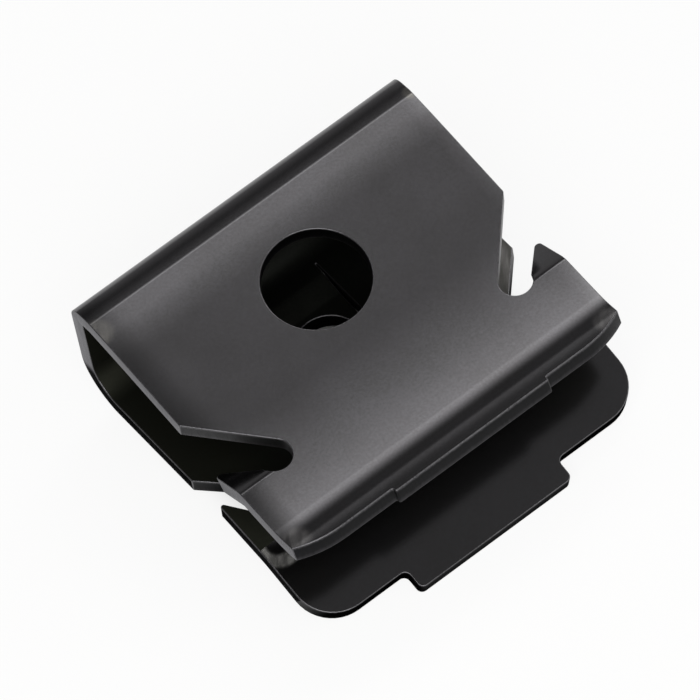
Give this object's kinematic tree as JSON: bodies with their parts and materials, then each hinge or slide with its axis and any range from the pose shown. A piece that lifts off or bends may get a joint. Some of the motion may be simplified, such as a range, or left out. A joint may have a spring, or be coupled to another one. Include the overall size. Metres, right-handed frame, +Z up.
{
  "type": "u clip speed nut",
  "caption": "U-shaped spring-steel clip nut that pushes over a panel edge: a round clearance hole in one leg, arched thread prongs in the other, barbed V notches and flared lead-in lips.",
  "frame": {"origin": "centre of the bounding box in plan, at the surface the clip rests on", "axes": "+X across the width, +Y from the open mouth towards the closed fold, +Z up, with the leg that has the clearance hole on top and the thread prongs underneath; the clip lies as it comes to rest, on its higher prong and the end of its lower lip"},
  "size_m": [0.0176, 0.0178, 0.0076],
  "materials": {
    "phosphated_spring_steel": "dark phosphate and oil over smooth rolled spring steel, a soft metallic sheen"
  },
  "bodies": {
    "root": {"clip": "phosphated_spring_steel"}
  },
  "joints": []
}
